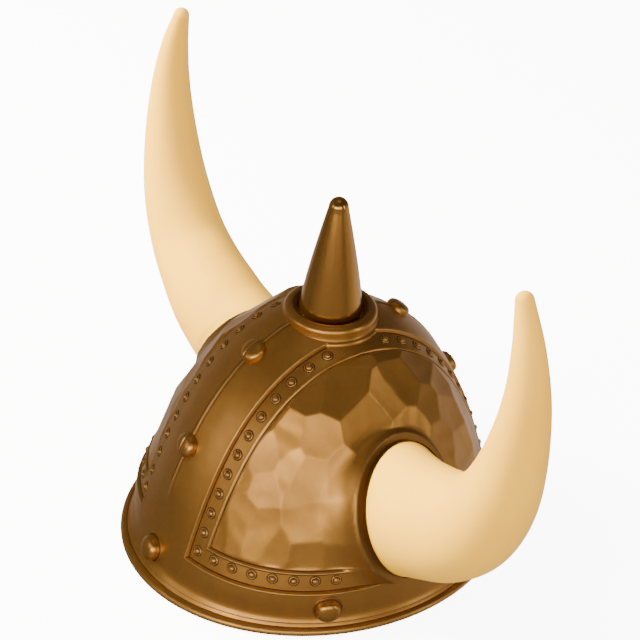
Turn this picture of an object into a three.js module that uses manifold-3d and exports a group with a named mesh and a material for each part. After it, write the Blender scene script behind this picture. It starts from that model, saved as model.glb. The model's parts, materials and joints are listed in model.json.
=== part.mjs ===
// Horned costume helmet with a crown spike: a moulded bowl with raised bands, rows of small rivets and
// hammered side panels, a spike in a beaded ring, two horns in oval rings, and domed studs.
// Millimetres, +Z up. The rim rests on z = 0, the front is -Y, and the horns point along -X and +X.

import * as THREE from 'three';
import { mergeVertices } from 'three/addons/utils/BufferGeometryUtils.js';
import Module from 'manifold-3d';

const wasm = await Module();
wasm.setup();
const { Manifold, Mesh } = wasm;

// Driving sizes of the bowl, taken at the outer face of the bands
const BOWL_HALF_WIDTH = 94.6;
const BOWL_HALF_LENGTH = 109.9;
const BOWL_HEIGHT = 144.5;
const SQUARENESS = { rim: 2, bowl: 2.25 };
const SQUARE_FROM = 28;
const WIDTH_FULLNESS = [0.144, -0.744, 0.792];
const LENGTH_FULLNESS = [-0.376, 0.435, -0.142];

// Steps in the moulded face, measured inwards from the bands
const STRIP_DEPTH = 1.6;
const PANEL_DEPTH = 2.4;
const CAVITY_DEPTH = 4.7;
const KEEL_RISE = 1.4;
const KEEL_FADE = 40;

// Bands that frame the side panels
const RIDGE_EDGE_LOW = 26.5;
const RIDGE_EDGE_TOP = 22;
const BROW_TOP = 27;
const STRIP_WIDTH = 11;
const RIVET_LINE = 6;
const RIVET_RADIUS = 2.6;
const RIVET_RISE = 1.3;
const RIVETS_UP = 11;
const RIVETS_ALONG = 8;
const TOP_RIVET_HEIGHT = 135.2;
const RIVET_PITCH_UP = 12.35;
const RIVET_PITCH_ALONG = 11.7;

// Rolled bead round the rim
const BEAD_RADIUS = 3;
const BEAD_CENTRE = 2.9;

// Crown ring and spike
const RING_RADIUS = 25.8;
const RING_TOP = 147.8;
const RING_BEAD = 3.6;
const RING_GROOVE = 143.6;
const SEAT_HEIGHT = 138.3;
const CROWN_WALL = 3;
const SPIKE_RADIUS = 17.2;
const SPIKE_BASE = 148;
const SPIKE_TIP = 214;
const SPIKE_TIP_RADIUS = 5.4;
const SPIKE_BOW = { radius: 14.9, height: 167 };

// Oval foot that each horn stands in, as seen on the +X side
const FOOT_CENTRE = new THREE.Vector3(85.5, 2.3, 66.3);
const FOOT_TILT = 22;
const FOOT_YAW = 10;
const FOOT_HALF_WIDTH = 30;
const FOOT_HALF_HEIGHT = 38.3;
const COLLAR_WIDTH = 3.6;
const COLLAR_RISE = 1.6;
const COLLAR_SEAT = 1.5;
const HORN_ROOT = 9;

// Centres and radii of the horn's sections, from just above the foot to the start of the blunt tip
const HORN_SECTIONS = [
  { x: 109.0, y: -3.0, z: 74.2, radius: 28.6 },
  { x: 132.9, y: -5.1, z: 87.5, radius: 24.9 },
  { x: 152.8, y: -6.0, z: 107.8, radius: 22.5 },
  { x: 167.1, y: -6.6, z: 135.6, radius: 19.8 },
  { x: 175.1, y: -6.8, z: 169.3, radius: 15.6 },
  { x: 176.8, y: -6.8, z: 201.9, radius: 11.3 },
  { x: 172.7, y: -7.0, z: 227.6, radius: 7.9 },
  { x: 165.5, y: -7.2, z: 248.9, radius: 5.2 },
];

// Domed studs: two on the ridge before and behind the spike, and six round the brow
const STUD_RADIUS = 6.9;
const STUD_RISE = 5.8;
const STUD_SINK = 0.9;
const RIDGE_STUDS = [
  { name: 'front_upper', side: -1, height: 129.3 },
  { name: 'front_lower', side: -1, height: 80 },
  { name: 'back_upper', side: 1, height: 131 },
  { name: 'back_lower', side: 1, height: 83 },
];
const BROW_STUD_HEIGHT = 16;
const BROW_STUD_X = 87.2;

const GAP = 0.3;
const COLUMNS = 40;
const ROWS = 10;

const gold = (roughness) => new THREE.MeshStandardMaterial({ color: 0xa87238, roughness, metalness: 0.85 });
const ivory = () => new THREE.MeshStandardMaterial({ color: 0xe8cfa0, roughness: 0.45, metalness: 0 });

/** Semi-axis of the bowl at a share of its height: an ellipse made slimmer or fuller by three terms. */
function semiAxis(base, fullness, share) {
  const u = Math.min(Math.max(share, 0), 0.99999);
  const swell = 1 + fullness[0] * u + fullness[1] * u ** 2 + fullness[2] * u ** 3;
  return base * Math.sqrt(1 - u * u) * swell;
}

/** Half width and half length of the bowl's level that lies a depth below the bands, at a height. */
function semiAxesAt(height, depth) {
  const share = height / (BOWL_HEIGHT - depth);
  const width = semiAxis(BOWL_HALF_WIDTH, WIDTH_FULLNESS, share) * (1 - depth / BOWL_HALF_WIDTH);
  const length = semiAxis(BOWL_HALF_LENGTH, LENGTH_FULLNESS, share) * (1 - depth / BOWL_HALF_LENGTH);
  return [width, length];
}

/** Power of the bowl's outline at a height: a plain ellipse at the rim, squarer above the brow band. */
function squarenessAt(height) {
  return THREE.MathUtils.lerp(SQUARENESS.rim, SQUARENESS.bowl, THREE.MathUtils.smoothstep(height, 3, SQUARE_FROM));
}

/** Point of a squarish ellipse at an angle from +X. */
function outlinePoint(halfWidth, halfLength, angle, height) {
  const power = 2 / squarenessAt(height);
  const across = Math.cos(angle);
  const along = Math.sin(angle);
  const x = halfWidth * Math.sign(across) * Math.abs(across) ** power;
  const y = halfLength * Math.sign(along) * Math.abs(along) ** power;
  return new THREE.Vector3(x, y, height);
}

/** Front or back point of a bowl level at a given x and height. */
function facePoint(x, height, depth, side) {
  const [width, length] = semiAxesAt(height, depth);
  const power = squarenessAt(height);
  const share = Math.min(Math.abs(x) / width, 1);
  return new THREE.Vector3(x, side * length * (1 - share ** power) ** (1 / power), height);
}

/** Outward direction of the band level near a point. */
function outwardAt(point) {
  const share = (p) => {
    const [width, length] = semiAxesAt(p.z, 0);
    const power = squarenessAt(p.z);
    return (Math.abs(p.x) / width) ** power + (Math.abs(p.y) / length) ** power;
  };
  const step = 0.05;
  const slope = ['x', 'y', 'z'].map((axis) => {
    const ahead = point.clone();
    const behind = point.clone();
    ahead[axis] += step;
    behind[axis] -= step;
    return share(ahead) - share(behind);
  });
  return new THREE.Vector3(...slope).normalize();
}

/** Edge of the ridge band, as a distance from the centre plane, at a height. */
function ridgeEdge(height) {
  return RIDGE_EDGE_LOW + (RIDGE_EDGE_TOP - RIDGE_EDGE_LOW) * (height / BOWL_HEIGHT);
}

/** Closed solid through rings of points, with flat fans over both ends, or joined end to end. */
function loft(rings, endless = false) {
  const sides = rings[0].length;
  const points = rings.flat();
  const index = [];
  const bands = endless ? rings.length : rings.length - 1;
  for (let row = 0; row < bands; row += 1) {
    const here = row * sides;
    const next = ((row + 1) % rings.length) * sides;
    for (let side = 0; side < sides; side += 1) {
      const turn = (side + 1) % sides;
      index.push(here + side, here + turn, next + turn, here + side, next + turn, next + side);
    }
  }
  if (!endless) {
    for (const [ring, start, flip] of [[rings[0], 0, true], [rings.at(-1), bands * sides, false]]) {
      const centre = points.length;
      points.push(ring.reduce((sum, p) => sum.add(p), new THREE.Vector3()).divideScalar(sides));
      for (let side = 0; side < sides; side += 1) {
        const pair = [start + side, start + ((side + 1) % sides)];
        index.push(...(flip ? pair.reverse() : pair), centre);
      }
    }
  }
  const geometry = new THREE.BufferGeometry().setFromPoints(points);
  geometry.setIndex(index);
  return geometry;
}

/** Solid for boolean work from a closed geometry. */
function solid(geometry) {
  let bare = geometry.clone();
  bare.deleteAttribute('uv').deleteAttribute('normal');
  bare = mergeVertices(bare, 1e-4);
  const corners = [...bare.index.array];
  const kept = [];
  for (let i = 0; i < corners.length; i += 3) {
    const [a, b, c] = corners.slice(i, i + 3);
    if (a !== b && b !== c && c !== a) kept.push(a, b, c);
  }
  const vertProperties = new Float32Array(bare.attributes.position.array);
  return new Manifold(new Mesh({ numProp: 3, vertProperties, triVerts: new Uint32Array(kept) }));
}

/** Geometry with flat faces from a solid. */
function geometryOf(body) {
  const mesh = body.getMesh();
  const geometry = new THREE.BufferGeometry();
  geometry.setAttribute('position', new THREE.BufferAttribute(new Float32Array(mesh.vertProperties), 3));
  geometry.setIndex([...mesh.triVerts]);
  return geometry;
}

/** Bowl-shaped solid of one level, closed at the crown or cut flat at a lower height. */
function bowlSolid({ depth, columns, rows, start = 0, crown = BOWL_HEIGHT - depth, keel = 0 }) {
  const topTurn = crown < BOWL_HEIGHT - depth ? Math.asin(crown / (BOWL_HEIGHT - depth)) : THREE.MathUtils.degToRad(87);
  const heights = start < 0 ? [start] : [];
  for (let row = 0; row <= rows; row += 1) {
    heights.push((BOWL_HEIGHT - depth) * Math.sin((topTurn * row) / rows));
  }
  const rings = heights.map((height) => {
    const [width, length] = semiAxesAt(height, depth);
    const ring = [];
    for (let column = 0; column < columns; column += 1) {
      const point = outlinePoint(width, length, (2 * Math.PI * column) / columns, height);
      const rise = keel * Math.max(0, 1 - Math.abs(point.x) / ridgeEdge(height));
      point.y += Math.sign(Math.round(point.y)) * rise * Math.min(1, Math.max(0, height / KEEL_FADE));
      ring.push(point);
    }
    return ring;
  });
  return solid(loft(rings));
}

/** Prism along Y that covers one side panel, shrunk by an inset from the bands. */
function panelPrism(side, inset) {
  const reach = 160;
  const low = BROW_TOP + inset;
  const shape = new THREE.Shape([
    new THREE.Vector2(ridgeEdge(low) + inset, low),
    new THREE.Vector2(reach, low),
    new THREE.Vector2(reach, reach),
    new THREE.Vector2(ridgeEdge(BOWL_HEIGHT) + inset, reach),
  ]);
  const prism = new THREE.ExtrudeGeometry(shape, { depth: 2 * reach, bevelEnabled: false });
  prism.rotateX(Math.PI / 2);
  prism.translate(0, reach, 0);
  if (side < 0) prism.rotateZ(Math.PI);
  return solid(prism);
}

/** Upright round solid between two heights on the centre line. */
function post(radius, low, high, sides) {
  const profile = [[0, low], [radius, low], [radius, high], [0, high]];
  return latheSolid(profile, sides);
}

/** Closed geometry turned round the Z axis from points of radius and height. */
function latheGeometry(profile, sides) {
  const geometry = new THREE.LatheGeometry(profile.map(([r, z]) => new THREE.Vector2(r, z)), sides);
  geometry.rotateX(Math.PI / 2);
  return geometry;
}

/** Solid turned round the Z axis from points of radius and height. */
function latheSolid(profile, sides) {
  return solid(latheGeometry(profile, sides));
}

/** Matrix that puts an upright piece at a point with its axis along a direction. */
function standOn(point, direction) {
  const turn = new THREE.Quaternion().setFromUnitVectors(new THREE.Vector3(0, 0, 1), direction);
  return new THREE.Matrix4().compose(point, turn, new THREE.Vector3(1, 1, 1));
}

/** Places of the small rivets of the front half of the +X panel: up the strip, then along its foot. */
function rivetPlaces() {
  const places = [];
  const step = 0.25;
  const line = (height) => ridgeEdge(height) + RIVET_LINE;
  let reach = 0;
  let previous = null;
  for (let height = TOP_RIVET_HEIGHT; places.length < RIVETS_UP; height -= step) {
    const point = facePoint(line(height), height, STRIP_DEPTH, -1);
    reach += previous ? point.distanceTo(previous) : 0;
    previous = point;
    if (reach >= places.length * RIVET_PITCH_UP) places.push(point);
  }
  const rowHeight = BROW_TOP + RIVET_LINE + 0.5;
  const [width, length] = semiAxesAt(rowHeight, STRIP_DEPTH);
  let run = 0;
  let last = null;
  for (let degrees = -90; degrees < 0; degrees += 0.2) {
    const point = outlinePoint(width, length, THREE.MathUtils.degToRad(degrees), rowHeight);
    if (point.x < line(rowHeight)) continue;
    run += last ? point.distanceTo(last) : 0;
    last = point;
    const due = (places.length - RIVETS_UP) * RIVET_PITCH_ALONG;
    if (run >= due && places.length < RIVETS_UP + RIVETS_ALONG) places.push(point);
  }
  return places;
}

/** Low six-sided domes of all the small rivets, in the four quarters of the bowl. */
function rivetSolids() {
  const profile = [[0, -1], [1.35 * RIVET_RADIUS, -1], [0.5 * RIVET_RADIUS, RIVET_RISE], [0, RIVET_RISE]];
  const dome = latheGeometry(profile, 6);
  const solids = [];
  for (const [mirrorX, mirrorY] of [[1, 1], [-1, 1], [1, -1], [-1, -1]]) {
    for (const place of rivetPlaces()) {
      const point = new THREE.Vector3(place.x * mirrorX, place.y * mirrorY, place.z);
      solids.push(solid(dome.clone().applyMatrix4(standOn(point, outwardAt(point)))));
    }
  }
  return solids;
}

/** Directions of a horn's foot: out of the helmet, sideways and up within the foot's plane. */
function footFrame(side) {
  const tilt = THREE.MathUtils.degToRad(FOOT_TILT);
  const yaw = THREE.MathUtils.degToRad(FOOT_YAW);
  const out = new THREE.Vector3(
    side * Math.cos(tilt) * Math.cos(yaw),
    Math.cos(tilt) * Math.sin(yaw),
    Math.sin(tilt),
  );
  const across = new THREE.Vector3(-side * Math.sin(yaw), Math.cos(yaw), 0);
  const up = new THREE.Vector3().crossVectors(out, across).multiplyScalar(side);
  const centre = new THREE.Vector3(side * FOOT_CENTRE.x, FOOT_CENTRE.y, FOOT_CENTRE.z);
  return { centre, out, across, up };
}

/** Oval ring of points parallel to the foot: grown sideways by a margin and moved outwards by a lift. */
function footRing(side, margin, lift, sides) {
  const { centre, out, across, up } = footFrame(side);
  const ring = [];
  for (let step = 0; step < sides; step += 1) {
    const angle = (side * 2 * Math.PI * step) / sides;
    const point = centre.clone();
    point.addScaledVector(across, (FOOT_HALF_WIDTH + margin) * Math.cos(angle));
    point.addScaledVector(up, (FOOT_HALF_HEIGHT + margin) * Math.sin(angle));
    ring.push(point.addScaledVector(out, lift));
  }
  return ring;
}

/** Solid that swells out of the panel to carry the horn's collar. */
function hornBoss(side) {
  const skirt = [[13, -22], [9.5, -14.5], [7, -9], [5.4, -5], [4.4, -COLLAR_SEAT]];
  const swell = solid(loft(skirt.map(([margin, lift]) => footRing(side, margin, lift, 24))));
  const aboveBrow = new THREE.BoxGeometry(200, 300, 200).translate(side * 110, 0, BROW_TOP + 0.6 + 100);
  return swell.intersect(solid(aboveBrow));
}

/** Oval hole for the horn's root, through the boss and the wall. */
function hornHole(side) {
  return solid(loft([-34, 6].map((lift) => footRing(side, GAP, lift, 24))));
}

/** Rolled bead of the rim with its flat foot and the hollow above it. */
function rimBead() {
  const section = [[-3.2, 0], [BEAD_CENTRE, 0]];
  for (const degrees of [-40, 10, 60]) {
    const turn = THREE.MathUtils.degToRad(degrees);
    section.push([BEAD_CENTRE + BEAD_RADIUS * Math.cos(turn), BEAD_RADIUS * (1 + Math.sin(turn))]);
  }
  section.push([0.8, 6.8], [-3.2, 11]);
  const rings = section.map(([margin, height]) => {
    const [width, length] = semiAxesAt(height, 0);
    const ring = [];
    for (let column = 0; column < COLUMNS; column += 1) {
      ring.push(outlinePoint(width + margin, length + margin, (2 * Math.PI * column) / COLUMNS, height));
    }
    return ring;
  });
  return solid(loft(rings, true));
}

/** Names, places and directions of the domed studs. */
function studPlaces() {
  const places = [];
  for (const { name, side, height } of RIDGE_STUDS) {
    const point = facePoint(0, height, 0, side);
    point.y += side * KEEL_RISE * 0.6;
    places.push({ name: `stud_ridge_${name}`, point });
  }
  for (const [end, side] of [['front', -1], ['back', 1]]) {
    places.push({ name: `stud_brow_${end}`, point: facePoint(0, BROW_STUD_HEIGHT, 0, side) });
    for (const [hand, sign] of [['right', 1], ['left', -1]]) {
      const point = facePoint(sign * BROW_STUD_X, BROW_STUD_HEIGHT, 0, side);
      places.push({ name: `stud_brow_${end}_${hand}`, point });
    }
  }
  return places.map((place) => ({ ...place, direction: outwardAt(place.point) }));
}

/** One-piece bowl: levels, rivets, rim, bosses and holes. */
function shell() {
  const smooth = { columns: COLUMNS, rows: ROWS };
  const bands = bowlSolid({ ...smooth, depth: 0, keel: KEEL_RISE });
  const strips = bowlSolid({ ...smooth, depth: STRIP_DEPTH });
  const panels = bowlSolid({ depth: PANEL_DEPTH, columns: 24, rows: 7 });
  const windows = Manifold.union([panelPrism(1, 0), panelPrism(-1, 0)]);
  const hammered = Manifold.union([panelPrism(1, STRIP_WIDTH), panelPrism(-1, STRIP_WIDTH)]);
  const frame = bands.subtract(windows);
  const rows = strips.subtract(hammered);
  const outside = Manifold.union([frame, rows, panels, rimBead(), hornBoss(1), hornBoss(-1), ...rivetSolids()]);
  const cavity = bowlSolid({ depth: CAVITY_DEPTH, columns: 32, rows: 8, start: -5, crown: SEAT_HEIGHT - CROWN_WALL });
  const pockets = studPlaces().map(({ point, direction }) => {
    const pocket = latheGeometry([[0, -STUD_SINK], [STUD_RADIUS + GAP, -STUD_SINK], [STUD_RADIUS + GAP, 6], [0, 6]], 12);
    return solid(pocket.applyMatrix4(standOn(point, direction)));
  });
  const seat = post(RING_RADIUS + GAP, SEAT_HEIGHT, BOWL_HEIGHT + 10, 28);
  const cuts = Manifold.union([cavity, seat, hornHole(1), hornHole(-1), ...pockets]);
  return outside.subtract(cuts);
}

/** Beaded ring on the crown, with a top that slopes in to the spike. */
function spikeCollar() {
  const beadLine = RING_RADIUS - RING_BEAD;
  const beadHeight = RING_TOP - RING_BEAD;
  const bore = SPIKE_RADIUS + 2 * GAP;
  const profile = [[bore, SEAT_HEIGHT + GAP], [RING_RADIUS, SEAT_HEIGHT + GAP]];
  for (const degrees of [0, 40, 75, 110]) {
    const turn = THREE.MathUtils.degToRad(degrees);
    profile.push([beadLine + RING_BEAD * Math.cos(turn), beadHeight + RING_BEAD * Math.sin(turn)]);
  }
  profile.push([bore + 0.8, RING_GROOVE], [bore, RING_GROOVE - 0.6], profile[0]);
  return solid(latheGeometry(profile, 28));
}

/** Round spike: a gently bowed cone with a blunt tip, standing on the crown's seat. */
function spike() {
  const profile = [[0, SEAT_HEIGHT + GAP], [SPIKE_RADIUS, SEAT_HEIGHT + GAP], [SPIKE_RADIUS, SPIKE_BASE]];
  const shoulder = SPIKE_TIP - SPIKE_TIP_RADIUS;
  const side = new THREE.QuadraticBezierCurve(
    new THREE.Vector2(SPIKE_RADIUS, SPIKE_BASE),
    new THREE.Vector2(SPIKE_BOW.radius, SPIKE_BOW.height),
    new THREE.Vector2(SPIKE_TIP_RADIUS, shoulder),
  );
  for (const point of side.getPoints(4).slice(1)) profile.push([point.x, point.y]);
  for (const degrees of [35, 65]) {
    const turn = THREE.MathUtils.degToRad(degrees);
    profile.push([SPIKE_TIP_RADIUS * Math.cos(turn), shoulder + SPIKE_TIP_RADIUS * Math.sin(turn)]);
  }
  profile.push([0, SPIKE_TIP]);
  return latheSolid(profile, 20);
}

/** Raised oval ring round a horn's foot: an inner lip, a shallow groove and a round outer rim. */
function hornCollar(side) {
  const section = [
    [GAP, GAP - COLLAR_SEAT],
    [COLLAR_WIDTH, GAP - COLLAR_SEAT],
    [COLLAR_WIDTH, 0.6],
    [COLLAR_WIDTH - 0.9, COLLAR_RISE],
    [COLLAR_WIDTH - 2, 0.9],
    [GAP, 0.7],
  ];
  return solid(loft(section.map(([margin, lift]) => footRing(side, margin, lift, 32)), true));
}

/** Smooth horn from its root inside the collar, along its curve, to a blunt tip. */
function horn(side) {
  const sides = 16;
  const rings = [-HORN_ROOT, 0].map((lift) => footRing(side, -GAP, lift, sides));
  const foot = { ...FOOT_CENTRE, radius: FOOT_HALF_HEIGHT };
  const centres = [foot, ...HORN_SECTIONS].map(({ x, y, z }) => new THREE.Vector3(side * x, y, z));
  const path = new THREE.CatmullRomCurve3(centres, false, 'centripetal');
  const count = HORN_SECTIONS.length;
  const { across: footAcross } = footFrame(side);
  const steps = 2;
  const ringAt = (point, tangent, width, height) => {
    const across = new THREE.Vector3(0, 1, 0).addScaledVector(tangent, -tangent.y).normalize();
    const up = new THREE.Vector3().crossVectors(tangent, across).multiplyScalar(side);
    const ring = [];
    for (let step = 0; step < sides; step += 1) {
      const angle = (side * 2 * Math.PI * step) / sides;
      const spot = point.clone().addScaledVector(across, width * Math.cos(angle));
      ring.push(spot.addScaledVector(up, height * Math.sin(angle)));
    }
    return ring;
  };
  const radii = [FOOT_HALF_HEIGHT - GAP, ...HORN_SECTIONS.map(({ radius }) => radius)];
  const { out } = footFrame(side);
  for (let step = 1; step <= count * steps; step += 1) {
    const share = step / (count * steps);
    const span = Math.min(Math.floor(share * count), count - 1);
    const within = share * count - span;
    const height = THREE.MathUtils.lerp(radii[span], radii[span + 1], within);
    const oval = 1 - THREE.MathUtils.smoothstep(share * count, 0, 1.6);
    const width = height * (1 - oval * (1 - FOOT_HALF_WIDTH / FOOT_HALF_HEIGHT));
    const tangent = path.getTangent(share);
    tangent.lerp(out, 1 - THREE.MathUtils.smoothstep(share * count, 0, 1)).normalize();
    rings.push(ringAt(path.getPoint(share), tangent, width, height));
  }
  const tip = path.getPoint(1);
  const heading = path.getTangent(1);
  const blunt = HORN_SECTIONS.at(-1).radius;
  for (const degrees of [32, 62]) {
    const turn = THREE.MathUtils.degToRad(degrees);
    const point = tip.clone().addScaledVector(heading, blunt * Math.sin(turn));
    rings.push(ringAt(point, heading, blunt * Math.cos(turn), blunt * Math.cos(turn)));
  }
  return solid(loft(rings));
}

/** Domed stud with a short foot that stands in its pocket. */
function studGeometry() {
  const profile = [[0, GAP - STUD_SINK], [STUD_RADIUS, GAP - STUD_SINK], [STUD_RADIUS, 0.4]];
  for (const degrees of [28, 56]) {
    const turn = THREE.MathUtils.degToRad(degrees);
    profile.push([STUD_RADIUS * Math.cos(turn), 0.4 + (STUD_RISE - 0.4) * Math.sin(turn)]);
  }
  profile.push([0, STUD_RISE]);
  return geometryOf(latheSolid(profile, 10));
}

const helmet = new THREE.Group();

/** Adds one named piece with its own material. */
function add(name, geometry, material) {
  const flat = geometry.index ? geometry.toNonIndexed() : geometry;
  flat.computeVertexNormals();
  const piece = new THREE.Mesh(flat, material);
  piece.name = name;
  helmet.add(piece);
  return piece;
}

add('shell', geometryOf(shell()), gold(0.38));
add('spike_collar', geometryOf(spikeCollar()), gold(0.3));
add('spike', geometryOf(spike()), gold(0.3));
for (const [hand, side] of [['right', 1], ['left', -1]]) {
  add(`horn_collar_${hand}`, geometryOf(hornCollar(side)), gold(0.3));
  add(`horn_${hand}`, geometryOf(horn(side)), ivory());
}
for (const { name, point, direction } of studPlaces()) {
  add(name, studGeometry(), gold(0.3)).applyMatrix4(standOn(point, direction));
}

export default helmet;
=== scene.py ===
"""Looks of a spiked viking helmet: a hammered antique gold bowl with two ivory horns.

Lengths are in metres. +X is the wearer's side that faces the camera, -Y is the front and Z is up.
"""

import json
import math

import bpy
import numpy as np
from bpy.props import FloatProperty, FloatVectorProperty, IntProperty, PointerProperty
from mathutils import Matrix, Vector

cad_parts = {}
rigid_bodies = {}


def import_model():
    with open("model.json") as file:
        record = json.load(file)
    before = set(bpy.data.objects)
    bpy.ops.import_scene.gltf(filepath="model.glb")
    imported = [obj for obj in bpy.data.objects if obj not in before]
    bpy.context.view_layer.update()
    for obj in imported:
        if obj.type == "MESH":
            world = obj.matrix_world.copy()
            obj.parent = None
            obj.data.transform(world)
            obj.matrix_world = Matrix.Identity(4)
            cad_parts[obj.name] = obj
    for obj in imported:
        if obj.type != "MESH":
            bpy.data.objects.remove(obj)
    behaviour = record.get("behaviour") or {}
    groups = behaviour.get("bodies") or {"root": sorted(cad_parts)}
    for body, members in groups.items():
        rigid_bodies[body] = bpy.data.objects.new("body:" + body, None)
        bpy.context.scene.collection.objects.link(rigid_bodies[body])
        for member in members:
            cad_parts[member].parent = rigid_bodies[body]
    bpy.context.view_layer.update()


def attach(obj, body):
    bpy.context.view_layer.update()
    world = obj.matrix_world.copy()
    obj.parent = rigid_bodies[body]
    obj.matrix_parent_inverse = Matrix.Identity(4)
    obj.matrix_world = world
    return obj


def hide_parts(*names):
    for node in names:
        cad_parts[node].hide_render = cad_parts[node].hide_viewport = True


bl_info = {
    "name": "Spiked viking helmet",
    "version": (1, 0, 0),
    "blender": (4, 5, 0),
    "location": "View3D > Sidebar > Helmet",
    "description": "Builds the surfaces, finishes and studio of a spiked viking helmet",
    "category": "Object",
}

MM = 0.001
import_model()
HANDS = (("right", 1), ("left", -1))
KEEL_LINE = 0.62 * MM


def length(name, description, millimetres):
    """One adjustable length, given in millimetres and kept in metres."""
    return FloatProperty(
        name=name, description=description, default=millimetres * MM, subtype="DISTANCE", unit="LENGTH"
    )


def colour(name, description, red, green, blue):
    """One adjustable colour, given as display values from 0 to 255 and kept linear."""
    linear = [((value / 255 + 0.055) / 1.055) ** 2.4 for value in (red, green, blue)]
    return FloatVectorProperty(
        name=name, description=description, default=linear, size=3, min=0, max=1, subtype="COLOR"
    )


class HelmetSizes(bpy.types.PropertyGroup):
    """Sizes of the bowl, its relief and its fittings."""

    half_width: length("Half width", "Bowl's half width at its foot", 94.6)
    half_length: length("Half length", "Bowl's half length at its foot", 109.9)
    height: length("Height", "Height of the bowl's crown", 144.5)
    strip_depth: length("Strip depth", "How far the rivet strips lie below the bands", 1.6)
    panel_depth: length("Panel depth", "How far the side panels lie below the bands", 2.4)
    wall: length("Wall", "From the bands' face to the inside", 4.7)
    keel: length("Keel", "Rise of the ridge band's middle", 2.9)
    ledge_height: length("Ledge height", "Height of the brow band's top edge", 26)
    strip_width: length("Strip width", "Width of the rivet strips", 11)
    bead: length("Rim bead", "Radius of the rolled rim", 2.4)
    rivet: length("Rivet", "Radius of a small rivet's foot", 3.3)
    stud: length("Stud", "Radius of a large stud", 6.9)
    stud_rise: length("Stud rise", "Height of a large stud", 5.8)
    facet: length("Hammer mark", "Distance between hammer marks", 20)
    collar: length("Horn collar", "Width of the collar round a horn's foot", 3.6)
    facet_seed: IntProperty(name="Hammer seed", description="Seed of the hammer marks", default=7)


class HelmetFinish(bpy.types.PropertyGroup):
    """Colours and light of the helmet's finishes."""

    gold: colour("Gold", "Main colour of the antique gold", 209, 147, 68)
    # Light gold on edges is rubbed wear and painted highlight; dark gold in grooves is painted shade.
    gold_light: colour("Rubbed and highlit gold", "Colour of rubbed edges", 240, 192, 120)
    gold_dark: colour("Gold in painted shade", "Colour in the grooves", 74, 42, 14)
    ivory: colour("Ivory", "Main colour of the horns", 254, 190, 42)
    ivory_dark: colour("Aged ivory", "Colour of the horns' darker clouds", 242, 172, 40)
    floor: colour("Floor", "Colour of the studio floor", 245, 244, 242)
    key: FloatProperty(name="Key light", description="Power of the key light", default=10.4, unit="POWER")
    soft: FloatProperty(name="Soft light", description="Power of the matt light", default=95, unit="POWER")
    fill: FloatProperty(name="Fill light", description="Power of the fill light", default=7.4, unit="POWER")


def smooth(share):
    """A soft step from 0 to 1: 3s^2 - 2s^3 with s kept between 0 and 1."""
    share = np.clip(share, 0.0, 1.0)
    return share * share * (3 - 2 * share)


def ramp(share):
    """A slope from 0 to 1 with rounded ends: s - 0.45 sin(2 pi s) / (2 pi) with s kept between 0 and 1."""
    share = np.clip(share, 0.0, 1.0)
    return share - np.sin(2 * np.pi * share) * 0.45 / (2 * np.pi)


def hump(value, middle, width):
    """A soft hump that is 1 at its middle: exp(-((value - middle) / width)^2)."""
    return np.exp(-(((value - middle) / width) ** 2))


def unit(vectors):
    """The vectors, each with a length of 1."""
    return vectors / np.linalg.norm(vectors, axis=-1, keepdims=True)


def circle(steps):
    """Equal angles all the way round."""
    return np.linspace(0, 2 * np.pi, steps, endpoint=False)


def walked(path):
    """How far each point of a path lies from its start, measured along the path."""
    return np.concatenate([[0], np.cumsum(np.linalg.norm(np.diff(path, axis=0), axis=1))])


def bowl_shape(size, z, depth=0.0):
    """Half width, half length and power of the bowl before its dome, and the share of its height."""
    share = z / (size.height - depth)
    wide = 1 + share * (0.144 + share * (-0.744 + share * 0.792))
    long = 1 + share * (-0.376 + share * (0.435 - share * 0.142))
    power = 2 + 0.25 * smooth((z - 3 * MM) / (25 * MM))
    return (size.half_width - depth) * wide, (size.half_length - depth) * long, power, share


def bowl_axes(size, z, depth=0.0):
    """Half width, half length and power of the bowl's outline at a height: shape times sqrt(1 - share^2)."""
    wide, long, power, share = bowl_shape(size, z, depth)
    dome = np.sqrt(np.clip(1 - share * share, 0, None))
    return wide * dome, long * dome, power


def level_points(size, z, cosine, sine, depth=0.0):
    """x and y on the outline at a height: half width times cos^(2/n) and half length times sin^(2/n)."""
    wide, long, power = bowl_axes(size, z, depth)
    x = wide * np.sign(cosine) * np.abs(cosine) ** (2 / power)
    y = long * np.sign(sine) * np.abs(sine) ** (2 / power)
    return x, y


def bowl_value(size, x, y, z):
    """Below 0 inside the bowl and above 0 outside: (|x/a|^n + |y/b|^n)^(2/n) + (z/height)^2 - 1."""
    wide, long, power, share = bowl_shape(size, z)
    ring = (np.abs(x) / wide) ** power + (np.abs(y) / long) ** power
    return ring ** (2 / power) + share * share - 1


def bowl_outward(size, points):
    """Outward unit normals of the bowl, from differences of its value over 0.02 mm each way."""
    slope = []
    for step in np.eye(3) * 0.02 * MM:
        ahead, behind = np.moveaxis(points + step, -1, 0), np.moveaxis(points - step, -1, 0)
        slope.append(bowl_value(size, *ahead) - bowl_value(size, *behind))
    return unit(np.stack(slope, axis=-1))


def face_y(size, x, z, side):
    """The bowl's y at a given x and height, at the front (-1) or back (+1)."""
    wide, long, power = bowl_axes(size, z)
    return side * long * (1 - np.clip(np.abs(x) / wide, 0, 1) ** power) ** (1 / power)


def ridge_edge(size, z):
    """Half width of the ridge band: 26.5 mm at the floor and 22 mm at the crown."""
    return (26.5 - 4.5 * z / size.height) * MM


def soft_least(values, softness):
    """A minimum over the last axis whose corners are rounded by the softness."""
    least = values.min(axis=-1)
    total = np.exp((least[..., None] - values) / softness).sum(axis=-1)
    return least - softness * np.log(total)


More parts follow.
